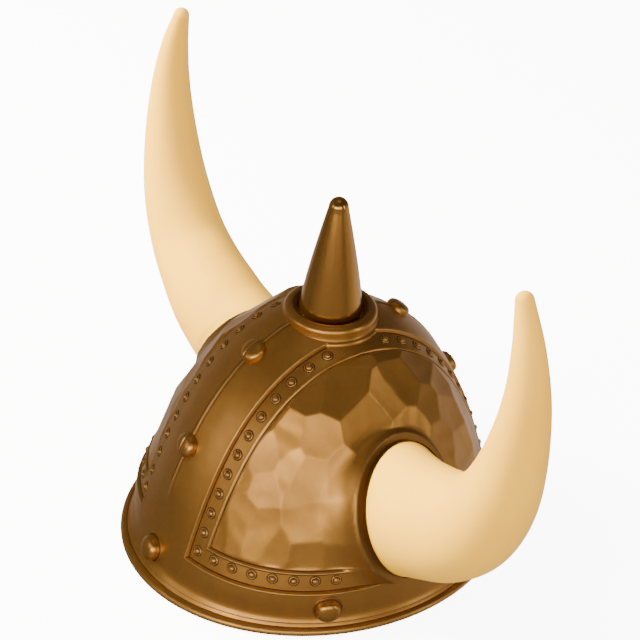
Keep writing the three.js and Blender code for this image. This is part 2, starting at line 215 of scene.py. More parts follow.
def foot_frame(side):
    """A horn foot's centre, outward, across and up: 22 degrees up and 10 degrees back."""
    tilt, yaw = math.radians(22), math.radians(10)
    centre = np.array([side * 85.5, 2.3, 66.3]) * MM
    out = np.array([math.cos(tilt) * math.cos(yaw), math.cos(tilt) * math.sin(yaw), math.sin(tilt)])
    across = np.array([-math.sin(yaw), math.cos(yaw), 0.0])
    up = np.cross(out, across)
    mirror = np.array([side, 1.0, 1.0])
    return centre, out * mirror, across * mirror, up * mirror


FOOT_HALF_WIDTH = 30 * MM
FOOT_HALF_HEIGHT = 38.3 * MM


def foot_margin(points, side):
    """How far points lie outside the horn foot's oval, and how far above its plane."""
    centre, out, across, up = foot_frame(side)
    local = points - centre
    u, v, lift = local @ across, local @ up, local @ out
    angle = np.arctan2(v / FOOT_HALF_HEIGHT, u / FOOT_HALF_WIDTH)
    oval = np.hypot(FOOT_HALF_WIDTH * np.cos(angle), FOOT_HALF_HEIGHT * np.sin(angle))
    return np.hypot(u, v) - oval, lift


def surface(name, points, around=False, loop=False, poles=(False, False), away=None, rubbed_and_highlit=0, painted_shade=0):
    """A mesh from a grid of points, rows by columns, faced outward, with masks of wear and painted light
    from its bends.

    The edge mask, for rubbed wear and painted highlight, grows where the surface bends outward, and the
    recess mask, for painted shade, where it bends inward. Both are raised to masks with a value for each row
    or point: one of painted highlight for the edges, one of painted shade for the recesses.
    """
    rows, columns = points.shape[:2]
    index = np.arange(rows * columns).reshape(rows, columns)
    for row, closed in zip((0, -1), poles):
        if closed:
            index[row] = index[row, 0]
    if loop:
        index = np.vstack([index, index[:1]])
    if around:
        index = np.hstack([index, index[:, :1]])
    corners = [index[:-1, :-1], index[:-1, 1:], index[1:, 1:], index[1:, :-1]]
    quads = np.stack(corners, axis=-1).reshape(-1, 4)
    flat = points.reshape(-1, 3)
    corner = flat[quads]
    area = np.cross(corner[:, 2] - corner[:, 0], corner[:, 3] - corner[:, 1])
    inside = flat.mean(axis=0) if away is None else np.asarray(away)
    facing = (area * (corner.mean(axis=1) - inside)).sum()
    if facing < 0:
        quads = quads[:, ::-1]
    edge, recess = wear_and_light_of(points, around, loop, facing)
    used, renumbered = np.unique(quads, return_inverse=True)
    quads = renumbered.reshape(quads.shape)
    whole = (quads != np.roll(quads, 1, axis=1)).all(axis=1)
    polygons = quads[whole].tolist()
    for quad in quads[~whole].tolist():
        polygons.append(list(dict.fromkeys(quad)))
    mesh = bpy.data.meshes.new(name)
    mesh.from_pydata(flat[used].tolist(), [], [face for face in polygons if len(face) > 2])
    mesh.polygons.foreach_set("use_smooth", np.ones(len(mesh.polygons), dtype=bool))
    for mask, values in (("edge", np.maximum(edge, rubbed_and_highlit)), ("recess", np.maximum(recess, painted_shade))):
        layer = mesh.attributes.new(mask, "FLOAT", "POINT")
        layer.data.foreach_set("value", values.reshape(-1)[used].astype(np.float32))
    mesh.update()
    piece = bpy.data.objects.new(name, mesh)
    bpy.context.scene.collection.objects.link(piece)
    return piece


def neighbours(values, axis, wrap):
    """The values one step ahead and one step behind along an axis of a grid."""
    places = np.arange(values.shape[axis])
    mode = "wrap" if wrap else "clip"
    return values.take(places + 1, axis, mode=mode), values.take(places - 1, axis, mode=mode)


def wear_and_light_of(points, around, loop, facing):
    """Edge and recess masks: the turn of the normal over the distance walked, both ways on the grid.

    The edge mask stands for rubbed wear and painted highlight, the recess mask for painted shade.
    """
    right, left = neighbours(points, 1, around)
    below, above = neighbours(points, 0, loop)
    normal = np.cross(right - left, below - above)
    normal /= np.maximum(np.linalg.norm(normal, axis=-1, keepdims=True), 1e-12)
    if facing < 0:
        normal = -normal
    bends = []
    for axis, wrap, first, second in ((1, around, right, left), (0, loop, below, above)):
        ahead, behind = neighbours(normal, axis, wrap)
        walk = first - second
        bends.append(((ahead - behind) * walk).sum(-1) / np.maximum((walk**2).sum(-1), 1e-10))
    edge = smooth((np.maximum(*bends) - 150) / 900)
    recess = smooth((-np.minimum(*bends) - 150) / 900)
    return edge, recess


def turned(profile, steps, centre, direction):
    """A profile of radius and height turned round an axis at a centre: rows by the profile's points."""
    direction = np.asarray(direction, dtype=float)
    first = unit(np.cross((0, 0, 1) if abs(direction[2]) < 0.9 else (1, 0, 0), direction))
    second = np.cross(direction, first)
    angle = circle(steps)[:, None]
    rim = np.cos(angle) * first + np.sin(angle) * second
    return centre + profile[:, None, :1] * rim[None] + profile[:, None, 1:] * direction


def rounded(points, steps=6):
    """A smooth curve through the points of a profile: Catmull-Rom spans cut in equal steps."""
    points = np.asarray(points, dtype=float)
    padded = np.vstack([2 * points[0] - points[1], points, 2 * points[-1] - points[-2]])
    share = np.linspace(0, 1, steps, endpoint=False)[:, None]
    spans = []
    for a, b, c, d in zip(padded[:-3], padded[1:-2], padded[2:-1], padded[3:]):
        cubic = (-a + 3 * b - 3 * c + d) * share**3 + (2 * a - 5 * b + 4 * c - d) * share**2
        spans.append(0.5 * (cubic + (c - a) * share + 2 * b))
    return np.vstack(spans + [points[-1:]])


def ledge_relief(size, x, z):
    """How far the bowl's face lies below the bands, as a negative height.

    Across the outer edge of a rivet strip the face has a low lip, a wall as deep as the strip and a
    narrow groove. Across the edge of a panel it has a lip, a fall to the panel's depth that is about a
    third as deep above the foot, and a groove. The distance across an edge is the lesser of those from
    the ridge and from the brow, so that corners are mitred.
    """
    beside = np.abs(x) - ridge_edge(size, z)
    above = z - size.ledge_height
    outer = np.minimum(beside, above * 1.05) / MM
    inner_beside = (beside - size.strip_width) / MM
    inner_above = (above - 11.6 * MM) / MM
    inner = np.minimum(inner_beside, inner_above)
    foot = smooth((62 * MM - z) / (30 * MM))
    low = np.maximum(foot * smooth((inner_beside - inner_above + 2) / 4), 0.3)
    fall = (size.panel_depth - size.strip_depth) / MM * (0.35 + 0.65 * foot)
    relief = 0.12 * hump(outer, -0.25, 0.55) - size.strip_depth / MM * ramp((outer - 0.1) / 0.95)
    relief -= 0.3 * hump(outer, 1.4, 0.4)
    relief += 0.5 * low * hump(inner, -0.1, 0.5) - fall * ramp((inner - 0.3) / 0.9)
    relief -= 0.26 * hump(inner, 1.25, 0.38)
    return relief * MM


def keel_relief(size, x, z):
    """The ridge band's rise: a straight roof with a fine line on top that turns into a bow near the brow."""
    share = np.clip(np.abs(x) / ridge_edge(size, z), 0, 1)
    crisp = smooth((z - 40 * MM) / (20 * MM))
    roof = crisp * (1 - np.sqrt(share**2 + 0.0002)) + (1 - crisp) * (1 - share**2) * 0.55
    line = 0.34 * MM * crisp * hump(x, 0, KEEL_LINE)
    return size.keel * roof * smooth((z - size.ledge_height) / (30 * MM)) + line


SEAM = 10 * MM
# Rows of the ridge and panel grids up to where they turn over the crown: from, to and count, in mm.
ROW_SPANS = ((24.4, 25.2, 3), (25.2, 28.4, 17), (28.4, 36.4, 9), (36.4, 40.2, 20), (40.2, 60, 19))
BROW_SEAM = ROW_SPANS[0][0] * MM
CROWN_CENTRE = ROW_SPANS[-1][1] * MM


def bowl_rows():
    """Heights of the grid's low rows, and the angle of each higher row over the crown."""
    low = np.concatenate([np.linspace(*span)[:-1] for span in ROW_SPANS]) * MM
    return low, np.radians(np.linspace(90, 0, 140))


def over_crown(size, share, offset, angle):
    """Points of the bowl on rays from 60 mm up its axis in the YZ plane, at x = share x edge + offset.

    The ray's length is halved in again and again until it ends on the bowl's face.
    """
    share, offset, angle = np.broadcast_arrays(share, offset, angle)
    near, far = np.zeros(angle.shape), np.full(angle.shape, 0.2)
    for _ in range(46):
        reach = (near + far) / 2
        z = CROWN_CENTRE + reach * np.cos(angle)
        y = -reach * np.sin(angle)
        x = share * ridge_edge(size, z) + offset
        outside = bowl_value(size, x, y, np.minimum(z, size.height * 1.3)) > 0
        far = np.where(outside, reach, far)
        near = np.where(outside, near, reach)
    return np.stack([x, y, z], axis=-1)


def ridge_columns():
    """The ridge grid's columns: a share of the ridge's half width and an offset beyond it."""
    beyond = [10, 9, 8, 7, 6, 5, 4, 3.3, 2.8, 2.5, 2.25, 2, 1.8, 1.6, 1.4, 1.2, 1, 0.8, 0.6, 0.4, 0.2, 0]
    beyond = np.array(beyond + [-0.2, -0.4, -0.6, -0.8, -1.1, -1.5]) * MM
    inner = [0.9, 0.86, 0.8, 0.74, 0.68, 0.62, 0.56, 0.5, 0.44, 0.38, 0.32, 0.26, 0.2, 0.15, 0.1, 0.06]
    inner += [0.04, 0.027, 0.018, 0.009]
    shares = np.concatenate([np.ones(len(beyond)), inner])
    offsets = np.concatenate([beyond, np.zeros(len(inner))])
    return np.concatenate([-shares, [0.0], shares[::-1]]), np.concatenate([-offsets, [0.0], offsets[::-1]])


def ridge_base(size):
    """The ridge grid's points on the bare bowl, from the front ledge over the crown to the back ledge."""
    shares, offsets = ridge_columns()
    low, angle = bowl_rows()
    sides = []
    for side in (-1, 1):
        z = np.repeat(low[:, None], len(shares), axis=1)
        x = shares * ridge_edge(size, z) + offsets
        foot = np.stack([x, face_y(size, x, z, side), z], axis=-1)
        dome = over_crown(size, shares[None], offsets[None], -side * angle[:, None])
        sides.append(np.concatenate([foot, dome]))
    return np.concatenate([sides[0], sides[1][-2::-1]])


def panel_base(size, columns=250):
    """A side panel's points on the bare bowl, at the right: rows by height, columns along each level.

    Each row starts and ends on the seam in the rivet strips. Its first and last millimetres have close
    columns, and the rest are equally spaced along the level's length.
    """
    low, angle = bowl_rows()
    heights = np.concatenate([low, over_crown(size, 1.0, SEAM, angle)[:, 2]])
    close = np.array([0, 0.3, 0.55, 0.75, 0.95, 1.15, 1.35, 1.55, 1.8, 2.05, 2.3, 2.6, 3, 3.5, 4.2]) * MM
    rows = []
    for z in heights:
        wide, _, power = bowl_axes(size, z)
        start = min((ridge_edge(size, z) + SEAM) / wide, 1.0)
        widest = math.acos(start ** (power / 2))
        angle = np.linspace(-widest, widest, 1200)
        way = walked(np.column_stack(level_points(size, z, np.cos(angle), np.sin(angle))))
        ends = close * min(1.0, way[-1] / (5 * close[-1]))
        middle = np.linspace(ends[-1], way[-1] - ends[-1], columns - 2 * len(close) + 2)[1:-1]
        places = np.concatenate([ends, middle, way[-1] - ends[::-1]])
        along = np.interp(places, way, angle)
        rows.append([*level_points(size, z, np.cos(along), np.sin(along)), np.full(columns, z)])
    rows[-1][:2] = np.full(columns, ridge_edge(size, heights[-1]) + SEAM), np.zeros(columns)
    return np.array(rows).transpose(0, 2, 1)


def hammer_marks(size):
    """Places, planes and shifts of the hammer marks: a jittered honeycomb on the right of the bowl."""
    random = np.random.default_rng(size.facet_seed)
    top = 142 * MM
    places = []
    for row, z in enumerate(np.arange(30 * MM, top, size.facet * 0.78)):
        wide, long, _ = bowl_axes(size, z)
        count = max(3, int(np.pi * (wide + long) / 2 / size.facet))
        for step in range(-1, count + 1):
            angle = -np.pi / 2 + np.pi * (step + 0.5 * (row % 2)) / count
            angle += random.uniform(-0.3, 0.3) * np.pi / count
            high = min(z + random.uniform(-0.26, 0.26) * size.facet, top)
            places.append((*level_points(size, high, np.cos(angle), np.sin(angle)), high))
    places = np.array(places)
    planes = unit(bowl_outward(size, places) + random.normal(0, 0.038, places.shape))
    return places, planes, random.uniform(-0.25, 0.2, len(places)) * MM


def hammered(size, points, outward):
    """Height of the hammered face over the bare bowl, and how near a point is to a rim between marks.

    Each mark is a plane that touches the bowl, slightly dished and with a slight wave. The face is the
    lowest of them, with softened rims between them, and lies 0.35 mm lower in all.
    """
    places, planes, shifts = hammer_marks(size)
    random = np.random.default_rng(size.facet_seed + 1)
    waves = random.normal(0, 260, places.shape)
    phases = random.uniform(0, 6.28, len(places))
    flat, normals = points.reshape(-1, 3), outward.reshape(-1, 3)
    height, rim = np.empty(len(flat)), np.empty(len(flat))
    batch = 20000
    for start in range(0, len(flat), batch):
        part = slice(start, start + batch)
        spot = flat[part]
        gap = places[None] - spot[:, None]
        facing = np.maximum(normals[part] @ planes.T, 0.25)
        tall = (gap * planes[None]).sum(-1) / facing + shifts
        tall += (gap**2).sum(-1) * 1.6 + 0.06 * MM * np.sin(spot @ waves.T + phases)
        height[part] = soft_least(tall, 0.075 * MM)
        pair = np.partition(tall, 1, axis=1)
        rim[part] = np.exp(-(pair[:, 1] - pair[:, 0]) / (0.05 * MM))
    return height.reshape(points.shape[:-1]) - 0.35 * MM, rim.reshape(points.shape[:-1])


def flared(size, points, side, base_height):
    """Lift the panel to the horn's collar: a steep skirt whose foot runs smoothly into the panel.

    The skirt falls 1.9 mm for each millimetre from the oval, and 2.4 mm more close to it. Its foot is
    rounded more the farther it is from the oval. Under the collar the face is flat, 1.5 mm below the
    foot's plane.
    """
    _, out, _, _ = foot_frame(side)
    margin, lift = foot_margin(points, side)
    away = np.maximum(margin - 4.4 * MM, 0)
    skirt = -1.5 * MM - 1.9 * away - 2.4 * MM * (1 - np.exp(-away / (1.8 * MM)))
    round_off = (0.8 + 1.7 * smooth(away / (6 * MM))) * MM
    raised = np.logaddexp(lift / round_off, skirt / round_off) * round_off
    raised = np.where(margin > 40 * MM, lift, raised)
    seat = smooth((5.0 * MM - margin) / (0.7 * MM))
    raised = raised * (1 - seat) - 1.5 * MM * seat
    keep = smooth((base_height - size.ledge_height) / (1.9 * MM))
    return points + out * ((raised - lift) * keep)[..., None]


def finish_piece(piece, material, nodes=()):
    """Give a piece its finish, its body and the CAD nodes that it stands for."""
    piece.data.materials.append(material)
    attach(piece, "root")
    if nodes:
        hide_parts(*nodes)


def blank_material(name):
    """A new material, its node tree, and the one Principled shader that its output shows."""
    material = bpy.data.materials.new(name)
    material.use_nodes = True
    tree = material.node_tree
    tree.nodes.clear()
    output = tree.nodes.new("ShaderNodeOutputMaterial")
    shader = tree.nodes.new("ShaderNodeBsdfPrincipled")
    tree.links.new(shader.outputs["BSDF"], output.inputs["Surface"])
    return material, tree, shader


def preset(node, values):
    """Set a node's inputs by name."""
    for name, value in values.items():
        node.inputs[name].default_value = value


def object_place(tree):
    """The point's place in object coordinates."""
    return tree.nodes.new("ShaderNodeTexCoord").outputs["Object"]


def noise(tree, place, scale, detail=2.0, roughness=0.5, stretch=None):
    """A noise texture over object coordinates, in cycles for each metre."""
    if stretch is not None:
        mapping = tree.nodes.new("ShaderNodeMapping")
        mapping.inputs["Scale"].default_value = stretch
        tree.links.new(place, mapping.inputs["Vector"])
        place = mapping.outputs["Vector"]
    node = tree.nodes.new("ShaderNodeTexNoise")
    preset(node, {"Scale": scale, "Detail": detail, "Roughness": roughness})
    tree.links.new(place, node.inputs["Vector"])
    return node.outputs["Fac"]


def math_node(tree, operation, first, second, clamp=False):
    """One Math node, whose inputs are sockets or numbers."""
    node = tree.nodes.new("ShaderNodeMath")
    node.operation = operation
    node.use_clamp = clamp
    for socket, value in zip(node.inputs, (first, second)):
        if isinstance(value, (int, float)):
            socket.default_value = value
        else:
            tree.links.new(value, socket)
    return node.outputs[0]


def weighted(tree, first, first_share, second, second_share):
    """The sum of two values, each times its share."""
    first = math_node(tree, "MULTIPLY", first, first_share)
    second = math_node(tree, "MULTIPLY", second, second_share)
    return math_node(tree, "ADD", first, second)


def remap(tree, value, low, high, to_low=0.0, to_high=1.0):
    """Spread a value from one range to another, clamped."""
    node = tree.nodes.new("ShaderNodeMapRange")
    preset(node, {"From Min": low, "From Max": high, "To Min": to_low, "To Max": to_high})
    tree.links.new(value, node.inputs["Value"])
    return node.outputs["Result"]


def mix_colour(tree, share, first, second):
    """Mix two colours, which are sockets or linear colours, by a share."""
    node = tree.nodes.new("ShaderNodeMix")
    node.data_type = "RGBA"
    tree.links.new(share, node.inputs["Factor"])
    for socket, value in ((node.inputs[6], first), (node.inputs[7], second)):
        if hasattr(value, "links"):
            tree.links.new(value, socket)
        else:
            socket.default_value = (*value, 1.0)
    return node.outputs[2]


def bend_normal(tree, shader, height, strength, distance):
    """Bend a shader's normal by a height that changes over the surface."""
    node = tree.nodes.new("ShaderNodeBump")
    preset(node, {"Strength": strength, "Distance": distance})
    tree.links.new(height, node.inputs["Height"])
    tree.links.new(node.outputs["Normal"], shader.inputs["Normal"])


def wear_and_light_group():
    """Shared wear and painted light of the gold finishes: broken-up edge and groove masks, clouds, and fine
    grain.

    The edge mask is rubbed wear and painted highlight; the groove mask is painted shade.
    """
    name = "Paint wear and light"
    if name in bpy.data.node_groups:
        return bpy.data.node_groups[name]
    group = bpy.data.node_groups.new(name, "ShaderNodeTree")
    place = object_place(group)
    masks = []
    for mask in ("edge", "recess"):
        attribute = group.nodes.new("ShaderNodeAttribute")
        attribute.attribute_name = mask
        masks.append(attribute.outputs["Fac"])
    breaks = remap(group, noise(group, place, 160, 4.0, 0.6), 0.3, 0.62, 0.35, 1.0)
    cloud = noise(group, place, 22, 4.0, 0.55)
    streak = noise(group, place, 60, 3.0, 0.6, stretch=(1.0, 1.0, 0.35))
    values = {
        "Edge": math_node(group, "MULTIPLY", masks[0], breaks, True),
        "Recess": math_node(group, "MULTIPLY", masks[1], 1.0, True),
        "Cloud": remap(group, weighted(group, cloud, 0.6, streak, 0.4), 0.36, 0.64),
        "Grain": noise(group, place, 1400, 2.0, 0.6),
    }
    for socket in values:
        group.interface.new_socket(name=socket, in_out="OUTPUT", socket_type="NodeSocketFloat")
    output = group.nodes.new("NodeGroupOutput")
    for socket, value in values.items():
        group.links.new(value, output.inputs[socket])
    return group


def gold_material(finish, name, roughness, bump, painted_shade):
    """Antique gold paint: a warm metal with clouds, edges lightened as rubbed wear and painted highlight,
    and grooves darkened brown as painted shade.
    """
    if name in bpy.data.materials:
        return bpy.data.materials[name]
    material, tree, shader = blank_material(name)
    node = tree.nodes.new("ShaderNodeGroup")
    node.node_tree = wear_and_light_group()
    wear = node.outputs
    deep = tuple(0.78 * value for value in finish.gold)
    base = mix_colour(tree, wear["Cloud"], deep, tuple(finish.gold))
    # Edges lighten as rubbed wear and painted highlight; grooves darken brown as painted shade.
    rubbed_and_highlit = math_node(tree, "MULTIPLY", wear["Edge"], 0.5, True)
    base = mix_colour(tree, rubbed_and_highlit, base, tuple(finish.gold_light))
    shade_share = math_node(tree, "MULTIPLY", wear["Recess"], painted_shade, True)
    base = mix_colour(tree, shade_share, base, tuple(finish.gold_dark))
    tree.links.new(base, shader.inputs["Base Color"])
    spread = remap(tree, wear["Cloud"], 0.0, 1.0, roughness + 0.05, roughness - 0.05)
    rough = math_node(tree, "ADD", spread, math_node(tree, "MULTIPLY", wear["Recess"], 0.25), True)
    tree.links.new(rough, shader.inputs["Roughness"])
    preset(shader, {"Metallic": 0.98, "Coat Weight": 0.2, "Coat Roughness": 0.22})
    waves = noise(tree, object_place(tree), 90, 2.0, 0.5)
    bend_normal(tree, shader, weighted(tree, waves, 3.0, wear["Grain"], 0.35), bump, 0.12 * MM)
    return material


def ivory_material(finish):
    """Satin ivory plastic: warm clouds along the horn, faint growth streaks and a soft inner glow."""
    name = "Ivory horn"
    if name in bpy.data.materials:
        return bpy.data.materials[name]
    material, tree, shader = blank_material(name)
    place = object_place(tree)
    cloud = remap(tree, noise(tree, place, 14, 3.0, 0.5), 0.35, 0.7)
    streak = remap(tree, noise(tree, place, 55, 3.0, 0.55, stretch=(1.0, 1.0, 0.25)), 0.35, 0.7)
    share = weighted(tree, cloud, 0.45, streak, 0.2)
    base = mix_colour(tree, share, tuple(finish.ivory), tuple(finish.ivory_dark))
    tree.links.new(base, shader.inputs["Base Color"])
    tree.links.new(remap(tree, cloud, 0, 1, 0.46, 0.54), shader.inputs["Roughness"])
    preset(shader, {"Subsurface Weight": 0.12, "Subsurface Radius": (1.0, 0.6, 0.35)})
    preset(shader, {"Subsurface Scale": 4 * MM, "Specular IOR Level": 0.35})
    waves, grain = noise(tree, place, 40, 2.0, 0.5), noise(tree, place, 900, 2.0, 0.6)
    bend_normal(tree, shader, weighted(tree, waves, 1.0, grain, 0.25), 0.25, 0.2 * MM)
    return material


# The gold finishes: material slot, roughness, strength of the grain and share of brown painted shade in the
# grooves.
GOLD_FINISHES = {
    "shell": ("shell_gold", 0.39, 0.5, 0.85),
    "fittings": ("fittings_gold", 0.34, 0.16, 0.8),
    "spike": ("fittings_gold", 0.2, 0.1, 0.7),
}


def gild(context, piece, kind, *nodes):
    """Give a piece one of the gold finishes, and name the CAD nodes that it stands for."""
    slot, *values = GOLD_FINISHES[kind]
    material = gold_material(context.scene.helmet_finish, f"Antique gold {kind}", *values)
    finish_piece(piece, material, nodes)


class HELMET_OT_shell(bpy.types.Operator):
    """Build the ridge band with its rivet strips, and both hammered side panels.

    Each point lies on the bare bowl, moved along its outward direction by the relief. The relief is
    the sum of the ledges, the keel and the hammer marks. Near a horn's foot the ledges are lifted to the
    collar before the marks are added.
    """

    bl_idname = "helmet.shell"
    bl_label = "Shell"

    def execute(self, context):
        size = context.scene.helmet_sizes
        base = ridge_base(size)
        x, z = base[..., 0], base[..., 2]
        relief = ledge_relief(size, x, z) + keel_relief(size, x, z)
        # Painted shade: a thin dark line each side of the ridge's crest, from about 50 mm up.
        painted_shade = 0.75 * hump(np.abs(x), 1.25 * MM, 0.5 * MM) * smooth((z - 50 * MM) / (12 * MM))
        points = base + bowl_outward(size, base) * relief[..., None]
        gild(context, surface("ridge_band", points, away=(0, 0, 0), painted_shade=painted_shade), "shell", "shell")
        panel = panel_base(size)
        outward = bowl_outward(size, panel)
        x, z = panel[..., 0], panel[..., 2]
        marks, rims = hammered(size, panel, outward)
        beside = np.abs(x) - ridge_edge(size, z) - size.strip_width - 1 * MM
        above = z - size.ledge_height - 12.6 * MM
        margin, _ = foot_margin(panel, 1)
        inside = smooth(np.minimum(beside, above) / (2 * MM)) * smooth((margin - 4 * MM) / (5 * MM))
        ledges = panel + outward * ledge_relief(size, x, z)[..., None]
        raised = flared(size, ledges, 1, z) + outward * (marks * inside)[..., None]
        # Painted highlight on the rims between hammer marks, and painted shade in a ring just outside the
        # horn's collar.
        rubbed_and_highlit = rims * inside * 0.1
        shaded = 0.5 * smooth((6.4 * MM - margin) / (1.6 * MM))
        for hand, side in HANDS:
            points = raised * np.array([side, 1, 1])
            name = f"side_panel_{hand}"
            piece = surface(name, points, poles=(False, True), away=(0, 0, 0), rubbed_and_highlit=rubbed_and_highlit, painted_shade=shaded)
            gild(context, piece, "shell")
        return {"FINISHED"}


class HELMET_OT_brow(bpy.types.Operator):
    """Build the brow band, the rolled rim bead, the flat foot and the inside of the bowl.

    The band's columns are those of the ridge and panels at the ledge, carried down by their angle on
    the outline. A profile of outward offset and height is swept round them.
    """

    bl_idname = "helmet.brow"
    bl_label = "Brow band"

    def execute(self, context):
        size = context.scene.helmet_sizes
        ridge, right = ridge_base(size), panel_base(size)[0]
        left = right[::-1] * np.array([-1, 1, 1])
        ledge = np.concatenate([ridge[0][:-1], right[:-1], ridge[-1][:0:-1], left[:-1]])
        wide, long, power = bowl_axes(size, BROW_SEAM)
        cosine = np.sign(ledge[:, 0]) * (np.abs(ledge[:, 0]) / wide) ** (power / 2)
        sine = np.sign(ledge[:, 1]) * (np.abs(ledge[:, 1]) / long) ** (power / 2)
        cosine, sine = unit(np.column_stack([cosine, sine])).T
        flare = [(0, ROW_SPANS[0][0]), (0, 22), (0, 19), (0, 16), (0, 13.5), (0.05, 11.8), (0.2, 10.4)]
        flare += [(0.5, 9.2), (0.95, 8.2), (1.4, 7.4), (1.62, 7.0), (1.66, 6.75), (1.72, 6.5), (2.0, 5.9)]
        flare += [(2.35, 5.2), (2.62, 4.75)]
        bead = size.bead / MM
        turn = np.radians(np.linspace(112, -90, 20))
        roll = [(5.9 - bead + bead * math.cos(a), bead + bead * math.sin(a)) for a in turn]
        foot = [(1.5, 0), (0, 0), (-2, 0), (-4.0, 0), (-4.5, 0.15), (-4.7, 0.6), (-4.7, 2)]
        profile = np.array(rounded(flare, 2).tolist() + roll + foot) * MM
        rows = [self.outline(size, cosine, sine, offset, z) for offset, z in profile]
        band = surface("brow_band", np.array(rows), around=True, away=(0, 0, 0.02))
        gild(context, band, "shell")
        angle = circle(144)
        crown = size.height - size.wall
        rows = []
        for z in crown * np.sin(np.linspace(0, np.arcsin(135.3 * MM / crown), 60)):
            x, y = level_points(size, max(z, 1.6 * MM), np.cos(angle), np.sin(angle), size.wall)
            rows.append(np.column_stack([x, y, np.full(len(x), max(z, 1.6 * MM))]))
        rows += [rows[-1] * np.array([share, share, 1]) for share in (0.75, 0.5, 0.25, 0.0)]
        hollow = surface("head_hollow", np.array(rows), around=True, poles=(False, True), away=(0, 0, 0.05))
        hollow.data.flip_normals()
        gild(context, hollow, "shell")
        return {"FINISHED"}

    @staticmethod
    def outline(size, cosine, sine, offset, z):
        """A level of the bowl, pushed sideways along the outline's outward direction."""
        level = max(z, 0.0)
        wide, long, power = bowl_axes(size, level)
        x, y = level_points(size, level, cosine, sine)
        slope_x = np.sign(x) * np.abs(x / wide) ** (power - 1) / wide
        slope_y = np.sign(y) * np.abs(y / long) ** (power - 1) / long
        flat = np.column_stack([x, y]) + unit(np.column_stack([slope_x, slope_y])) * offset
        return np.column_stack([flat, np.full(len(x), z)])


def spaced(path, step, count):
    """Points at equal steps along a path, from its start on."""
    way = walked(path)
    places = np.arange(count) * step
    return np.column_stack([np.interp(places, way, path[:, axis]) for axis in range(3)])


def rivet_places(size):
    """Middles of the small rivets: 11 up each strip from near the crown, and 8 along each foot row."""
    line, row_height = 6 * MM, 33.5 * MM
    z = np.linspace(150 * MM, row_height, 8000)
    z = z[z < 143 * MM]
    x = ridge_edge(size, z) + line
    on_bowl = x < bowl_axes(size, z)[0]
    x, z = x[on_bowl], z[on_bowl]
    strip = np.column_stack([x, face_y(size, x, z, -1), z])
    start = np.argmin(np.abs(z - 136.6 * MM))
    start -= int(3 * MM / np.linalg.norm(strip[start] - strip[start - 1]))
    x = np.linspace(ridge_edge(size, row_height) + line, 94 * MM, 4000)
    x = x[x < bowl_axes(size, row_height)[0]]
    row = np.column_stack([x, face_y(size, x, row_height, -1), np.full(len(x), row_height)])
    places = np.concatenate([spaced(strip[start:], 12.35 * MM, 11), spaced(row, 11.7 * MM, 8)])
    return np.concatenate([places * np.array([i, j, 1]) for i in (1, -1) for j in (1, -1)])


class HELMET_OT_rivets(bpy.types.Operator):
    """Build the small rivets: one turned profile, repeated on the strips and faced outward.

    The profile is a shallow ring with a groove and a low dome in its middle.
    """

    bl_idname = "helmet.rivets"
    bl_label = "Rivets"

    def execute(self, context):
        size = context.scene.helmet_sizes
        profile = [(0, -0.6), (3.3, -0.6), (3.28, -0.1), (3.1, 0.1), (2.8, 0.12), (2.62, 0.3), (2.42, 0.56)]
        profile += [(2.15, 0.62), (1.95, 0.48), (1.8, 0.44), (1.64, 0.7), (1.36, 1.12), (0.85, 1.5)]
        profile += [(0.35, 1.64), (0, 1.66)]
        profile = rounded(profile, 2)
        # Painted shade in the rivet's groove, on the outer side of its ring and round its foot.
        grooves = hump(profile[:, :1], 1.85, 0.3) + smooth((profile[:, :1] - 2.5) / 0.4)
        painted_shade = np.minimum(0.85 * grooves, 1)
        places = rivet_places(size)
        pieces = []
        for place, direction in zip(places, bowl_outward(size, places)):
            seat = place - direction * size.strip_depth
            points = turned(profile * size.rivet / 3.3, 20, seat, direction)
            pieces.append(surface("rivet", points, around=True, poles=(True, True), painted_shade=painted_shade))
        join(context, pieces, "small_rivets")
        gild(context, pieces[0], "shell")
        return {"FINISHED"}


def join(context, pieces, name):
    """Join several objects into the first one under a new name."""
    for other in context.scene.objects:
        other.select_set(False)
    for piece in pieces:
        piece.select_set(True)
    context.view_layer.objects.active = pieces[0]
    bpy.ops.object.join()
    pieces[0].name = name
    pieces[0].data.name = name


def stud_places(size):
    """Names and middles of the large studs: two on each end of the ridge, six on the brow band."""
    places = []
    for end, side, heights in (("front", -1, (129.3, 80.0)), ("back", 1, (131.0, 83.0))):
        for level, z in zip(("upper", "lower"), np.array(heights) * MM):
            y = face_y(size, 0.0, z, side) + side * size.keel * 0.6
            places.append((f"stud_ridge_{end}_{level}", np.array([0.0, y, z])))
    for end, side in (("front", -1), ("back", 1)):
        for hand, x in (("", 0.0), ("_right", 87.2 * MM), ("_left", -87.2 * MM)):
            z = 16 * MM
            places.append((f"stud_brow_{end}{hand}", np.array([x, face_y(size, x, z, side), z])))
    return places


